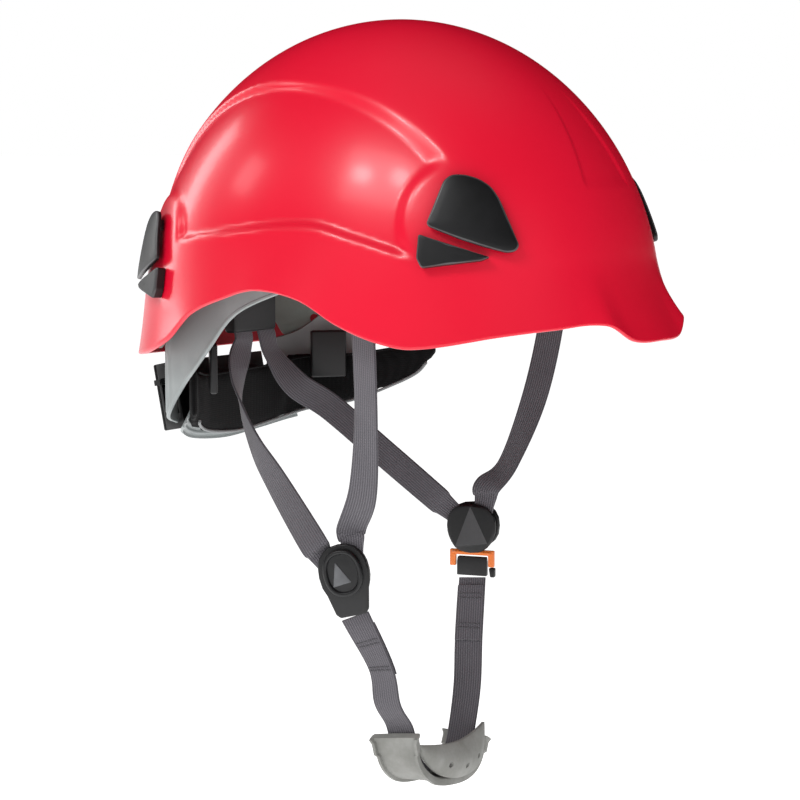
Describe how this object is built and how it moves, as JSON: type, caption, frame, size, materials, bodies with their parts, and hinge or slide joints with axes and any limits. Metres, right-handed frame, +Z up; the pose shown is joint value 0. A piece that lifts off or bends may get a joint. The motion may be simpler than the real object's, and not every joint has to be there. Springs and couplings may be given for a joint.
{
  "type": "climbing helmet",
  "caption": "Climbing helmet: ridged glossy shell with lamp clips, webbing cradle, headband with a nape wheel, strap dividers, quick-release latch and chin strap with a rubber pad.",
  "frame": {"origin": "underside of the crown pad, where the top of the wearer's head sits", "axes": "+X to the wearer's left, -Y to the front (the peak), +Z up toward the crown"},
  "size_m": [0.221, 0.3028, 0.3962],
  "materials": {
    "shell": "glossy red",
    "clip": "satin black",
    "band": "satin grey",
    "nape": "satin black",
    "foam": "soft black fabric over foam",
    "webbing": "ribbed woven",
    "latch": "satin orange",
    "rubber": "matt grey rubber"
  },
  "bodies": {
    "helmet": {"brow_pad": "foam", "cradle_band_a": "webbing", "cradle_band_b": "webbing", "cradle_tab_front_left": "clip", "cradle_tab_front_right": "clip", "cradle_tab_rear_left": "clip", "cradle_tab_rear_right": "clip", "crown_pad": "foam", "divider_back_left": "clip", "divider_back_right": "clip", "divider_front_left": "clip", "divider_front_right": "clip", "front_anchor_left": "clip", "front_anchor_right": "clip", "front_hanger_left": "clip", "front_hanger_right": "clip", "front_left_clip_base": "clip", "front_left_clip_pivot": "clip", "front_right_clip_base": "clip", "front_right_clip_pivot": "clip", "front_strap_left": "webbing", "front_strap_right": "webbing", "headband": "band", "outer_shell": "shell", "rear_hanger_left": "band", "rear_hanger_right": "band", "rear_left_clip_base": "clip", "rear_left_clip_pivot": "clip", "rear_right_clip_base": "clip", "rear_right_clip_pivot": "clip", "rear_strap_block": "clip", "rear_strap_left": "webbing", "rear_strap_right": "webbing", "side_peg_left": "band", "side_peg_right": "band"},
    "front_left_flap": {"front_left_clip_flap": "clip"},
    "front_right_flap": {"front_right_clip_flap": "clip"},
    "rear_left_flap": {"rear_left_clip_flap": "clip"},
    "rear_right_flap": {"rear_right_clip_flap": "clip"},
    "nape_frame": {"nape_arm_left": "band", "nape_arm_right": "band", "nape_housing": "nape", "nape_cover": "nape", "nape_pad": "foam", "arm_slider_left": "clip", "arm_slider_right": "clip"},
    "knob": {"nape_knob": "nape", "pinion": "nape"},
    "left_rack": {"rack_left": "nape"},
    "right_rack": {"rack_right": "nape"},
    "left_cover": {"divider_cover_left": "clip"},
    "right_cover": {"divider_cover_right": "clip"},
    "latch": {"buckle_latch": "latch", "latch_tab": "clip"},
    "chin_loop": {"chin_strap": "webbing", "chin_pad": "rubber", "buckle_tongue": "clip"}
  },
  "joints": [
    {"name": "front_right_flap_lift", "type": "hinge", "parent": "helmet", "child": "front_right_flap", "pos_m": [-0.07376, -0.0879, -0.03775], "axis": [-0.5739, 0.819, 0], "range_deg": [0, 12], "stiffness_Nm_per_rad": 0.05},
    {"name": "front_left_flap_lift", "type": "hinge", "parent": "helmet", "child": "front_left_flap", "pos_m": [0.07376, -0.0879, -0.03775], "axis": [-0.5739, -0.819, 0], "range_deg": [0, 12], "stiffness_Nm_per_rad": 0.05},
    {"name": "rear_right_flap_lift", "type": "hinge", "parent": "helmet", "child": "rear_right_flap", "pos_m": [-0.07541, 0.09807, -0.05813], "axis": [0.6121, 0.7908, 0], "range_deg": [0, 12], "stiffness_Nm_per_rad": 0.05},
    {"name": "rear_left_flap_lift", "type": "hinge", "parent": "helmet", "child": "rear_left_flap", "pos_m": [0.07541, 0.09807, -0.05813], "axis": [0.6121, -0.7908, 0], "range_deg": [0, 12], "stiffness_Nm_per_rad": 0.05},
    {"name": "nape_tilt", "type": "hinge", "parent": "helmet", "child": "nape_frame", "pos_m": [0, 0.024, -0.084], "axis": [1, 0, 0], "range_deg": [-6, 0]},
    {"name": "knob_turn", "type": "hinge", "parent": "nape_frame", "child": "knob", "pos_m": [0, 0.12169, -0.158], "axis": [0, 0.9781, -0.2079], "range_deg": [-90, 90]},
    {"name": "rack_right_slide", "type": "slide", "parent": "nape_frame", "child": "right_rack", "axis": [1, 0, 0], "range_m": [-0.009, 0.009]},
    {"name": "rack_left_slide", "type": "slide", "parent": "nape_frame", "child": "left_rack", "axis": [1, 0, 0], "range_m": [-0.009, 0.009]},
    {"name": "cover_right_swing", "type": "hinge", "parent": "helmet", "child": "right_cover", "pos_m": [-0.06118, -0.01184, -0.24926], "axis": [0.4118, -0.8831, 0.225], "range_deg": [0, 60]},
    {"name": "cover_left_swing", "type": "hinge", "parent": "helmet", "child": "left_cover", "pos_m": [0.06235, -0.00683, -0.238], "axis": [-0.2588, 0.9659, 0], "range_deg": [0, 60]},
    {"name": "latch_swing", "type": "hinge", "parent": "helmet", "child": "latch", "pos_m": [0.05771, -0.00808, -0.2435], "axis": [0.2588, -0.9659, 0], "range_deg": [0, 20], "stiffness_Nm_per_rad": 0.03},
    {"name": "chin_release", "type": "hinge", "parent": "helmet", "child": "chin_loop", "pos_m": [-0.05596, -0.01238, -0.26095], "axis": [0, 1, 0], "range_deg": [0, 50]}
  ],
  "couplings": [
    {"joint": "rack_right_slide", "follows": "knob_turn", "m_per_rad": 0.005},
    {"joint": "rack_left_slide", "follows": "knob_turn", "m_per_rad": -0.005}
  ]
}
